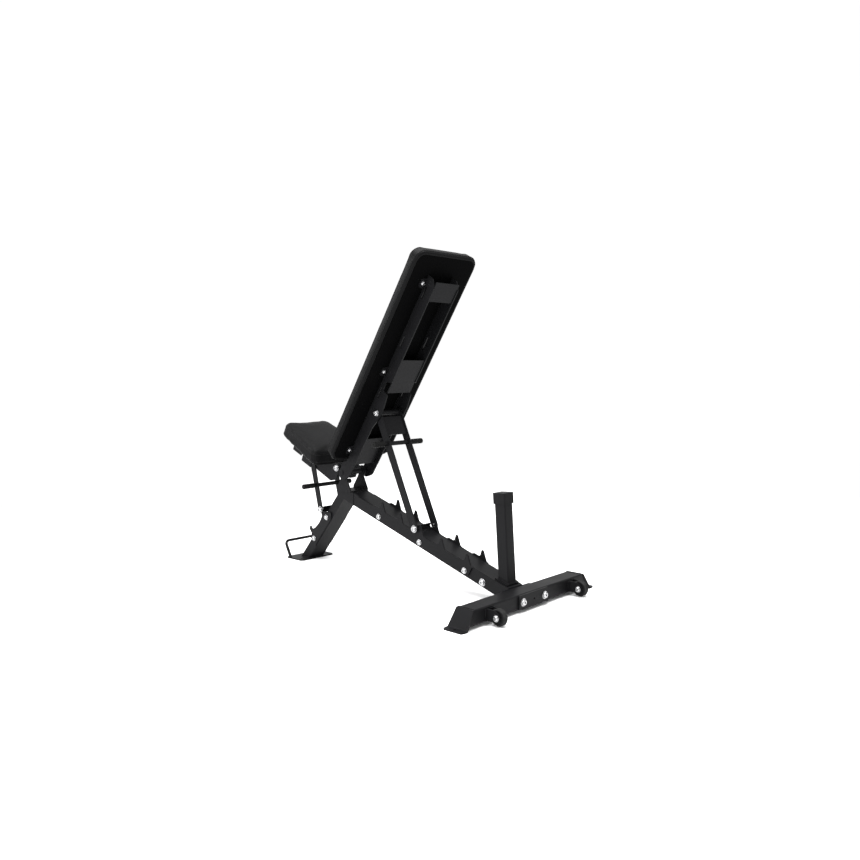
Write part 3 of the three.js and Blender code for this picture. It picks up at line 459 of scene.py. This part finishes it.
def radius_of(node, share):
    low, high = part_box(node)
    return round((high.z - low.z) / 2 / share / MM) * MM


def bolts():
    for node in sorted(frame["nodes"]):
        if "_pin_" in node:
            pin_end(node, radius_of(node, PIN_SHARE))
        elif node.startswith("rear_joint_bolt"):
            through_bolt(node, "y", radius_of(node, HEAD_SHARE))
        elif "bolt" in node or "wheel_axle" in node:
            through_bolt(node, "x", radius_of(node, HEAD_SHARE))


# ---- wheels, grips, welds --------------------------------------------------------------------------


def wheel(side):
    node = f"wheel_{side}"
    low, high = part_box(node)
    centre = (low + high) / 2
    half = (high.x - low.x) / 2
    r = (high.z - low.z) / 2
    bore = 5.4 * MM
    face = [(half, bore), (half, 0.36 * r), (half - 0.6 * MM, 0.4 * r), (half - 3.2 * MM, 0.46 * r),
            (half - 3.4 * MM, 0.68 * r), (half - 1.4 * MM, 0.74 * r), (half - 1 * MM, 0.78 * r),
            (half - 1.2 * MM, 0.86 * r), (half - 2.4 * MM, 0.9 * r)]
    profile = [(-z, radius) for z, radius in face] + [(z, radius) for z, radius in reversed(face)]
    rings = [(z, radius, False) for z, radius in profile]
    mesh = ring_solid(node + "_hub", rings)
    hub = piece(f"hub_{side}", mesh, PLASTIC, f"wheel_{side[0]}", along("x", centre))
    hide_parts(node)
    width = half - 2.6 * MM
    tread = [(-width, 0.88 * r), (-width, 0.93 * r), (-width + 2 * MM, 0.985 * r)]
    grooves = 5
    for k in range(grooves):
        z = (-0.62 + 1.24 * k / (grooves - 1)) * width
        tread += [(z - 0.7 * MM, r), (z - 0.3 * MM, 0.975 * r), (z + 0.3 * MM, 0.975 * r), (z + 0.7 * MM, r)]
    tread += [(width - 2 * MM, 0.985 * r), (width, 0.93 * r), (width, 0.88 * r)]
    mesh = ring_solid(node + "_tread", [(z, radius, False) for z, radius in tread])
    piece(f"tread_{side}", mesh, TREAD, f"wheel_{side[0]}", along("x", centre))
    ribs(side, centre, half, r)


def ring_solid(name, rings, sides=TURNED_SIDES):
    """A ring turned about the local z axis: its section closes on itself."""
    points, faces = [], []
    for height, radius, _ in rings:
        points += [
            (radius * math.cos(2 * math.pi * i / sides), radius * math.sin(2 * math.pi * i / sides), height)
            for i in range(sides)
        ]
    count = len(rings)
    for ring in range(count):
        a, b = ring * sides, ((ring + 1) % count) * sides
        faces += [(a + i, a + (i + 1) % sides, b + (i + 1) % sides, b + i) for i in range(sides)]
    return mesh_of(name, points, faces)


def ribs(side, centre, half, r):
    """Five stiffening ribs in each recess of a wheel."""
    graph = bmesh.new()
    for end in (-1, 1):
        for k in range(5):
            turn = Matrix.Rotation(2 * math.pi * k / 5 + 0.3, 4, "Z")
            size = Matrix.Diagonal((0.32 * r, 2.2 * MM, 2.2 * MM, 1))
            place = Matrix.Translation((0.57 * r, 0, end * (half - 2.6 * MM)))
            bmesh.ops.create_cube(graph, size=1.0, matrix=turn @ place @ size)
    bmesh.ops.bevel(graph, geom=graph.edges[:], offset=0.5 * MM, segments=2, affect="EDGES")
    mesh = bpy.data.meshes.new("ribs")
    graph.to_mesh(mesh)
    graph.free()
    smooth(mesh)
    piece(f"wheel_ribs_{side}", mesh, PLASTIC, f"wheel_{side[0]}", along("x", centre))


def handle(node):
    """A crossbar with a ribbed grip and a cap on each end."""
    low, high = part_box(node)
    centre = (low + high) / 2
    half = (high.x - low.x) / 2
    grip = (high.z - low.z) / 2
    bar = grip - 2 * MM
    inside = half - 6 * MM
    rings = [(x, radius, False) for x, radius in
             ((-inside, bar * 0.5), (-inside, bar), (inside, bar), (inside, bar * 0.5))]
    body = body_of_node[node]
    mesh = turned(node + "_bar", rings, 40)
    obj = piece(f"bar_{node}", mesh, POWDER, body, along("x", centre))
    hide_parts(node)
    for name, axis in (("left", "x"), ("right", "-x")):
        start = half - GRIP_LENGTH
        rings = [(start, bar + 0.1 * MM), (start, grip - 0.8 * MM), (start + 0.8 * MM, grip),
                 (start + 4 * MM, grip)]
        count = 9
        pitch = (GRIP_LENGTH - 12 * MM) / count
        for k in range(count):
            z = start + 5 * MM + pitch * k
            rings += [(z, grip), (z + 0.2 * pitch, grip - 0.7 * MM), (z + 0.5 * pitch, grip - 0.7 * MM),
                      (z + 0.7 * pitch, grip)]
        rings += [(half - 3 * MM, grip), (half - 2 * MM, grip), (half - 0.6 * MM, grip - 0.8 * MM),
                  (half, grip - 2.2 * MM), (half, grip * 0.45), (half - 1.2 * MM, grip * 0.36),
                  (half - 1.2 * MM, 0.1 * MM)]
        mesh = turned(f"{node}_grip_{name}", [(z, radius, False) for z, radius in rings], 40)
        piece(f"grip_{node}_{name}", mesh, GRIP, body, along(axis, centre))


def hull(points, normal):
    """The outer corners of points in a plane, in order."""
    u = normal.orthogonal().normalized()
    v = normal.cross(u)
    flat = sorted((p.dot(u), p.dot(v), i) for i, p in enumerate(points))

    def half(sequence):
        chain = []
        for p in sequence:
            while len(chain) > 1:
                (ax, ay, _), (bx, by, _) = chain[-2:]
                if (bx - ax) * (p[1] - ay) - (by - ay) * (p[0] - ax) > 1e-12:
                    break
                chain.pop()
            chain.append(p)
        return chain[:-1]

    return [points[i] for _, _, i in half(flat) + half(flat[::-1])]


def bead(name, points, body, radius=2.2 * MM, closed=True):
    """A weld bead with its ripples."""
    line = resample(points, 1.3 * MM, closed)
    line = [p + noise.noise_vector(p * 60.0) * 0.35 * MM for p in line]

    def radius_at(i):
        return radius * (0.86 + 0.16 * abs(math.sin(i * 0.95)) + 0.1 * noise.noise(line[i] * 90.0))

    mesh = tube(name, line, radius_at, 8, closed)
    piece(name, mesh, POWDER, body)


def weld_end(node, direction):
    """A bead around the end of a tube, at its furthest vertices along a direction."""
    direction = Vector(direction).normalized()
    points = [v.co.copy() for v in frame["nodes"][node].data.vertices]
    far = max(p.dot(direction) for p in points)
    ring = hull([p for p in points if p.dot(direction) > far - 0.4 * MM], direction)
    axis = "xyz"[max(range(3), key=lambda i: abs(direction[i]))]
    sign = "p" if sum(direction) > 0 else "m"
    bead(f"weld_{node}_{axis}{sign}", ring, body_of_node[node])


def welds():
    weld_end("front_leg", (0, 0, -1))
    weld_end("post_tube", -beam_up)
    weld_end("main_beam", (0, -1, 0))
    low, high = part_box("rear_cross_tube")
    corners = [v.co for v in frame["nodes"]["rear_cross_tube"].data.vertices]
    top_x = max(c.x for c in corners if c.z > high.z - 0.5 * MM)
    slope = (high.x - top_x) / (high.z - low.z)
    for side in (1, -1):
        weld_end("rear_cross_tube", (side, 0, slope))
    low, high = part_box("lift_handle")
    plate_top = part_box("front_foot_plate")[1].z
    rod = 6 * MM
    for name, x in (("left", high.x - rod), ("right", low.x + rod)):
        ring = [Vector((x + 6.4 * MM * math.cos(a), high.y - rod + 6.4 * MM * math.sin(a), plate_top))
                for a in (2 * math.pi * k / 16 for k in range(16))]
        bead(f"weld_lift_{name}", ring, "base", 1.8 * MM)
    for side in ("left", "right"):
        low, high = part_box(f"wheel_bracket_{side}")
        for end, x in (("in", low.x), ("out", high.x)):
            y = low.y + 1.5 * MM
            line = [Vector((x, y, low.z + 16 * MM)), Vector((x, y, high.z - 3 * MM))]
            bead(f"weld_bracket_{side}_{end}", line, "base", 1.8 * MM, closed=False)


# ---- pads ------------------------------------------------------------------------------------------


def rounded_outline(corners, steps=10):
    """A closed outline through (x, y, radius) corners, anticlockwise."""
    points = []
    count = len(corners)
    for i, (x, y, radius) in enumerate(corners):
        corner = Vector((x, y, 0))
        before = (Vector((*corners[i - 1][:2], 0)) - corner).normalized()
        after = (Vector((*corners[(i + 1) % count][:2], 0)) - corner).normalized()
        half = before.angle(after) / 2
        reach = radius / math.tan(half)
        centre = corner + (before + after).normalized() * radius / math.sin(half)
        start = corner + before * reach - centre
        end = corner + after * reach - centre
        turn = start.angle(end)
        for k in range(steps + 1):
            points.append(centre + Matrix.Rotation(turn * k / steps, 3, "Z") @ start)
    return points


def foam(name, outline, thickness, lean):
    """A closed slab whose front edge is rounded, before it swells; its pivot end leans away."""
    layers = [(0.0, PAD_SHRINK), (2 * MM, PAD_SHRINK * 0.3), (thickness - PAD_ROUND, PAD_SHRINK)]
    for k in range(1, 7):
        a = math.radians(15 * k)
        height = thickness - PAD_ROUND + PAD_ROUND * math.sin(a)
        layers.append((height, PAD_SHRINK + PAD_ROUND * (1 - math.cos(a))))
    centre = sum(outline, Vector()) / len(outline)
    count = len(outline)
    points, faces = [], []
    normals = outline_normals(outline)
    for height, inset in layers:
        points += [p - n * inset + Vector((0, 0, height)) for p, n in zip(outline, normals)]
    for layer in range(len(layers) - 1):
        a, b = layer * count, (layer + 1) * count
        faces += [(a + i, a + (i + 1) % count, b + (i + 1) % count, b + i) for i in range(count)]
    near = min((p.y for p in outline), key=abs)
    reach = 70 * MM
    for p in points:
        share = max(0.0, 1.0 - abs(p.y - near) / reach)
        p.y += math.copysign(lean, near) * share * p.z / thickness
    points += [centre, centre + Vector((0, 0, thickness))]
    last = (len(layers) - 1) * count
    faces += [((i + 1) % count, i, len(points) - 2) for i in range(count)]
    faces += [(last + i, last + (i + 1) % count, len(points) - 1) for i in range(count)]
    return mesh_of(name, points, faces)


def outline_normals(outline):
    count = len(outline)
    normals = []
    for i in range(count):
        tangent = (outline[(i + 1) % count] - outline[i - 1]).normalized()
        normals.append(Vector((tangent.y, -tangent.x, 0)))
    return normals


def remeshed(mesh):
    """The slab as an even grid of small quads."""
    obj = bpy.data.objects.new("foam", mesh)
    bpy.context.scene.collection.objects.link(obj)
    remesh = obj.modifiers.new("voxels", "REMESH")
    remesh.mode = "VOXEL"
    remesh.voxel_size = PAD_VOXEL
    relax = obj.modifiers.new("relaxed", "SMOOTH")
    relax.factor = 0.5
    relax.iterations = 3
    result = evaluated(obj)
    bpy.data.objects.remove(obj)
    return result


def evaluated(obj):
    depsgraph = bpy.context.evaluated_depsgraph_get()
    depsgraph.update()
    return bpy.data.meshes.new_from_object(obj.evaluated_get(depsgraph))


def swell(mesh, thickness):
    """Blows the cover up with cloth, held along its back, and limits how far each point moves."""
    rest = [v.co.copy() for v in mesh.vertices]
    obj = bpy.data.objects.new("cover", mesh)
    bpy.context.scene.collection.objects.link(obj)
    held = obj.vertex_groups.new(name="held")
    for v in mesh.vertices:
        share = min(1.0, max(0.0, 1.0 - (v.co.z - 0.2 * thickness) / (0.3 * thickness)))
        held.add([v.index], share, "REPLACE")
    cloth = obj.modifiers.new("cloth", "CLOTH")
    settings = cloth.settings
    settings.quality = 5
    settings.mass = 0.3
    settings.tension_stiffness = 40
    settings.compression_stiffness = 40
    settings.shear_stiffness = 8
    settings.bending_stiffness = 0.6
    settings.use_pressure = True
    settings.uniform_pressure_force = 4
    settings.vertex_group_mass = "held"
    settings.effector_weights.gravity = 0
    scene = bpy.context.scene
    for step in range(1, 21):
        scene.frame_set(step)
    result = evaluated(obj)
    bpy.data.objects.remove(obj)
    scene.frame_set(1)
    for v, start in zip(result.vertices, rest):
        move = v.co - start
        move.x *= PAD_DRAW
        move.y *= PAD_DRAW
        v.co = start + move * PAD_CAP / (PAD_CAP + move.length)
    return result


def pad(name, node, outline, space, body, lean):
    """A foam pad: swollen cover, board recess, corner gathers, seams with welt and stitches."""
    low, high = local_box(node, space)
    thickness = high.z - low.z
    mesh = remeshed(foam(name, outline, thickness, lean))
    mesh = swell(mesh, thickness)
    shape_cover(mesh, outline, thickness)
    subdivided = bpy.data.objects.new("fine", mesh)
    bpy.context.scene.collection.objects.link(subdivided)
    fine = subdivided.modifiers.new("fine", "SUBSURF")
    fine.levels = 1
    fine.render_levels = 1
    mesh = evaluated(subdivided)
    bpy.data.objects.remove(subdivided)
    smooth(mesh, 60.0)
    tree = BVHTree.FromPolygons([v.co for v in mesh.vertices], [p.vertices for p in mesh.polygons])
    sew(name, tree, outline, thickness, space, body)
    mesh.name = name
    obj = piece(name, mesh, VINYL, body, space)
    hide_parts(node)


def distance_inside(point, outline):
    """How far a point is inside an outline, to its nearest side."""
    count = len(outline)
    best = 1.0
    for i in range(count):
        a, b = outline[i], outline[(i + 1) % count]
        edge = b - a
        if edge.length_squared < 1e-12:
            continue
        share = max(0.0, min(1.0, (point - a).dot(edge) / edge.length_squared))
        best = min(best, (a + edge * share - point).length)
    return best


def shape_cover(mesh, outline, thickness):
    """Sets the board's recess into the back and gathers the sides a little."""
    for v in mesh.vertices:
        flat = Vector((v.co.x, v.co.y, 0))
        if v.co.z < 0.16 * thickness:
            inside = distance_inside(flat, outline)
            if inside > 17 * MM:
                v.co.z = 3 * MM
        elif v.co.z < 0.8 * thickness:
            ripple = noise.noise(Vector((v.co.x * 26, v.co.y * 26, v.co.z * 9)))
            v.co += Vector((v.co.x, 0, 0)).normalized() * ripple * 0.5 * MM


def seam_line(tree, outline, height, step):
    """Points on the cover at a height, all round, with the way out at each."""
    line = resample(outline, step)
    normals = outline_normals(line)
    found = []
    for p, n in zip(line, normals):
        start = p + n * 40 * MM + Vector((0, 0, height))
        hit, normal, _, _ = tree.ray_cast(start, -n)
        if hit is not None:
            found.append((hit, normal))
    return found


def sew(name, tree, outline, thickness, space, body):
    """A welt round the pad's front edge and its back edge, and a row of stitches by each."""
    for label, share, offset in (("front", 0.74, -3.4), ("back", 0.17, 3.4)):
        height = share * thickness
        line = [hit - normal * 0.4 * MM for hit, normal in seam_line(tree, outline, height, 3 * MM)]
        mesh = tube(f"{name}_welt_{label}", line, lambda i: WELT_RADIUS)
        piece(f"{name}_welt_{label}", mesh, VINYL, body, space)
        row = seam_line(tree, outline, height + offset * MM, STITCH_STEP)
        stitches(f"{name}_stitches_{label}", row, space, body)


# Along the stitch, height over the cover, and thread radius, in mm.
STITCH_RINGS = ((-1.7, -0.3, 0.3), (-1.2, 0.25, 0.42), (0.0, 0.42, 0.45), (1.2, 0.25, 0.42), (1.7, -0.3, 0.3))


def stitches(name, row, space, body):
    """Short threads that dip into the cover at both ends."""
    verts, faces = [], []
    sides = 6
    count = len(row)
    for i, (point, normal) in enumerate(row):
        ahead = (row[(i + 1) % count][0] - row[i - 1][0]).normalized()
        across = normal.cross(ahead)
        base = len(verts)
        for s, lift, r in STITCH_RINGS:
            middle = point + ahead * s * MM + normal * lift * MM
            for k in range(sides):
                a = 2 * math.pi * k / sides
                verts.append(middle + (across * math.cos(a) + normal * math.sin(a)) * r * MM)
        for ring in range(4):
            a, b = base + ring * sides, base + (ring + 1) * sides
            faces += [(a + k, a + (k + 1) % sides, b + (k + 1) % sides, b + k) for k in range(sides)]
        faces.append(tuple(base + k for k in range(sides - 1, -1, -1)))
        faces.append(tuple(base + 4 * sides + k for k in range(sides)))
    mesh = mesh_of(name, verts, faces, 80.0)
    piece(name, mesh, THREAD, body, space)


def back_pad():
    low, high = local_box("back_pad", back_space)
    radius = 42 * MM
    outline = rounded_outline([(low.x, low.y, radius), (high.x, low.y, radius), (high.x, high.y, radius),
                               (low.x, high.y, radius)])
    pad("back_cushion", "back_pad", outline, back_space, "back", 6 * MM)


def seat_pad():
    low, high = local_box("seat_pad", seat_space)
    points = [seat_space.inverted() @ v.co for v in frame["nodes"]["seat_pad"].data.vertices]
    front = max(p.x for p in points if p.y < low.y + 1 * MM) + 32 * MM
    front_radius = 38 * MM
    rear_radius = 26 * MM
    outline = rounded_outline([(-front, low.y, front_radius), (front, low.y, front_radius),
                               (high.x + 2 * MM, high.y, rear_radius), (low.x - 2 * MM, high.y, rear_radius)])
    pad("seat_cushion", "seat_pad", outline, seat_space, "seat", 20 * MM)


# ---- pad bolts -------------------------------------------------------------------------------------

TAB_STATIONS = (0.114, 0.466, 0.822)
TAB_REACH = 0.075  # from the middle to a tab's bolt
TAB_BACK = 4.3 * MM


def pad_bolts():
    for i, station in enumerate(TAB_STATIONS):
        for side, x in (("left", TAB_REACH), ("right", -TAB_REACH)):
            radius = 4 * MM
            rings = [(-10 * MM, 0.1 * radius, False), (-10 * MM, radius, False), (0, radius, False)]
            mesh = turned("pad_bolt", rings + head_rings(0, radius), BOLT_SIDES)
            place = Matrix.Translation((x, station, -TAB_BACK)) @ Matrix.Rotation(math.pi, 4, "X")
            piece(f"pad_bolt_{side}_{i + 1}", mesh, ZINC, "back", back_space @ place)


# ---- floor, light and camera -----------------------------------------------------------------------


def stage():
    mesh = bpy.data.meshes.new("floor")
    corners = ((-1, -1), (1, -1), (1, 1), (-1, 1))
    mesh.from_pydata([(FLOOR_HALF * x, FLOOR_HALF * y, 0) for x, y in corners], [], [(0, 1, 2, 3)])
    floor = bpy.data.objects.new("floor", mesh)
    bpy.context.scene.collection.objects.link(floor)
    surface = Surface("floor_paint", 0.7)
    surface.colour(surface.blend(surface.noise(2.0), tone(0.9), tone(0.92)))
    mesh.materials.append(surface.material)


def softbox(name, place, size, power, aim=(0, 0, 0.45)):
    light = bpy.data.lights.new(name, "AREA")
    light.shape = "RECTANGLE"
    light.size, light.size_y = size
    light.energy = power
    obj = bpy.data.objects.new(name, light)
    bpy.context.scene.collection.objects.link(obj)
    obj.location = place
    obj.rotation_euler = (Vector(aim) - Vector(place)).to_track_quat("-Z", "Y").to_euler()


def lights():
    world = bpy.data.worlds.new("studio")
    bpy.context.scene.world = world
    world.use_nodes = True
    background = world.node_tree.nodes["Background"]
    background.inputs["Color"].default_value = tone(1.0)
    background.inputs["Strength"].default_value = 1.02
    softbox("overhead", (0.3, 0.2, 3.4), (3.0, 3.0), 240)
    softbox("near_side", (3.4, 0.2, 1.9), (2.4, 2.0), 110)
    softbox("front_side", (1.0, -3.2, 2.0), (2.4, 2.0), 50)


def camera():
    data = bpy.data.cameras.new("camera")
    data.lens = CAMERA_LENS
    data.sensor_width = 36
    data.clip_end = 100
    obj = bpy.data.objects.new("camera", data)
    bpy.context.scene.collection.objects.link(obj)
    level = CAMERA_AIM - CAMERA_PLACE
    heading = math.atan2(level.y, level.x) + CAMERA_YAW
    forward = Vector((math.cos(heading) * math.cos(CAMERA_PITCH), math.sin(heading) * math.cos(CAMERA_PITCH),
                      math.sin(CAMERA_PITCH)))
    right = forward.cross(Vector((0, 0, 1))).normalized()
    up = right.cross(forward)
    tilt = Matrix.Rotation(CAMERA_ROLL, 3, forward * -1)
    axes = Matrix((tilt @ right, tilt @ up, -forward)).transposed()
    obj.matrix_world = Matrix.Translation(CAMERA_PLACE) @ axes.to_4x4()
    bpy.context.scene.camera = obj
    bpy.context.scene.view_settings.view_transform = "Standard"


camera()
lights()
stage()
dress_cad_nodes()
bolts()
for wheel_side in ("left", "right"):
    wheel(wheel_side)
for crossbar in ("prop_handle", "seat_prop_handle"):
    handle(crossbar)
welds()
back_pad()
seat_pad()
pad_bolts()
